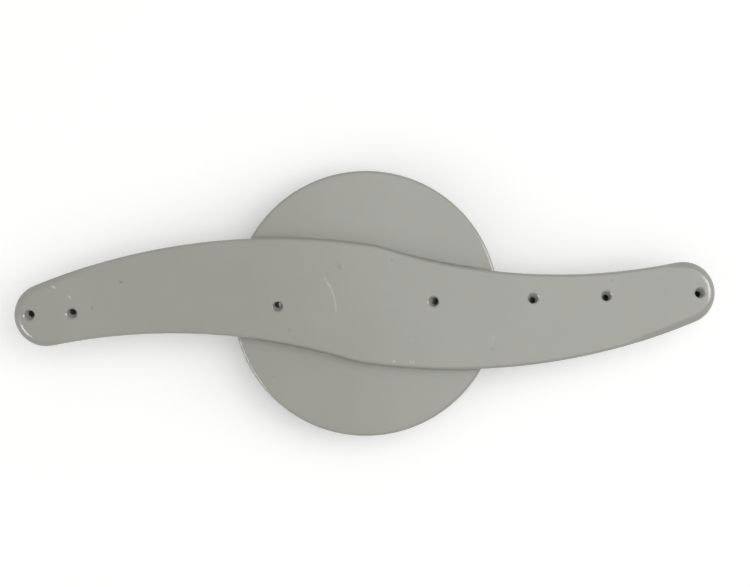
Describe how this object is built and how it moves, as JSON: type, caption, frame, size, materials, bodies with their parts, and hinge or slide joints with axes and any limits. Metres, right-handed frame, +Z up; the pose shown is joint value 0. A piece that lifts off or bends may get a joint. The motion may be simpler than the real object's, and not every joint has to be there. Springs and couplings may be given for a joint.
{
  "type": "dishwasher spray arm",
  "caption": "S-shaped grey plastic spray arm with upward nozzles and a round deflector disc, turning freely on a snap-in hub bearing that fits a water outlet post.",
  "frame": {"origin": "on the hub axis, at the foot of the hub bearing", "axes": "+X along the line of the nozzles, from tip to tip; +Z up along the hub axis, the way the jets spray"},
  "size_m": [0.4924, 0.188, 0.0484],
  "materials": {
    "grey_plastic": "satin moulded polypropylene",
    "bearing_plastic": "smooth natural acetal"
  },
  "bodies": {
    "bearing": {"hub_bearing": "bearing_plastic"},
    "arm": {"upper_shell": "grey_plastic", "lower_shell": "grey_plastic"}
  },
  "joints": [
    {"name": "arm_spin", "type": "hinge", "parent": "bearing", "child": "arm", "pos_m": [0, 0, 0.0033], "axis": [0, 0, 1], "continuous": true}
  ]
}
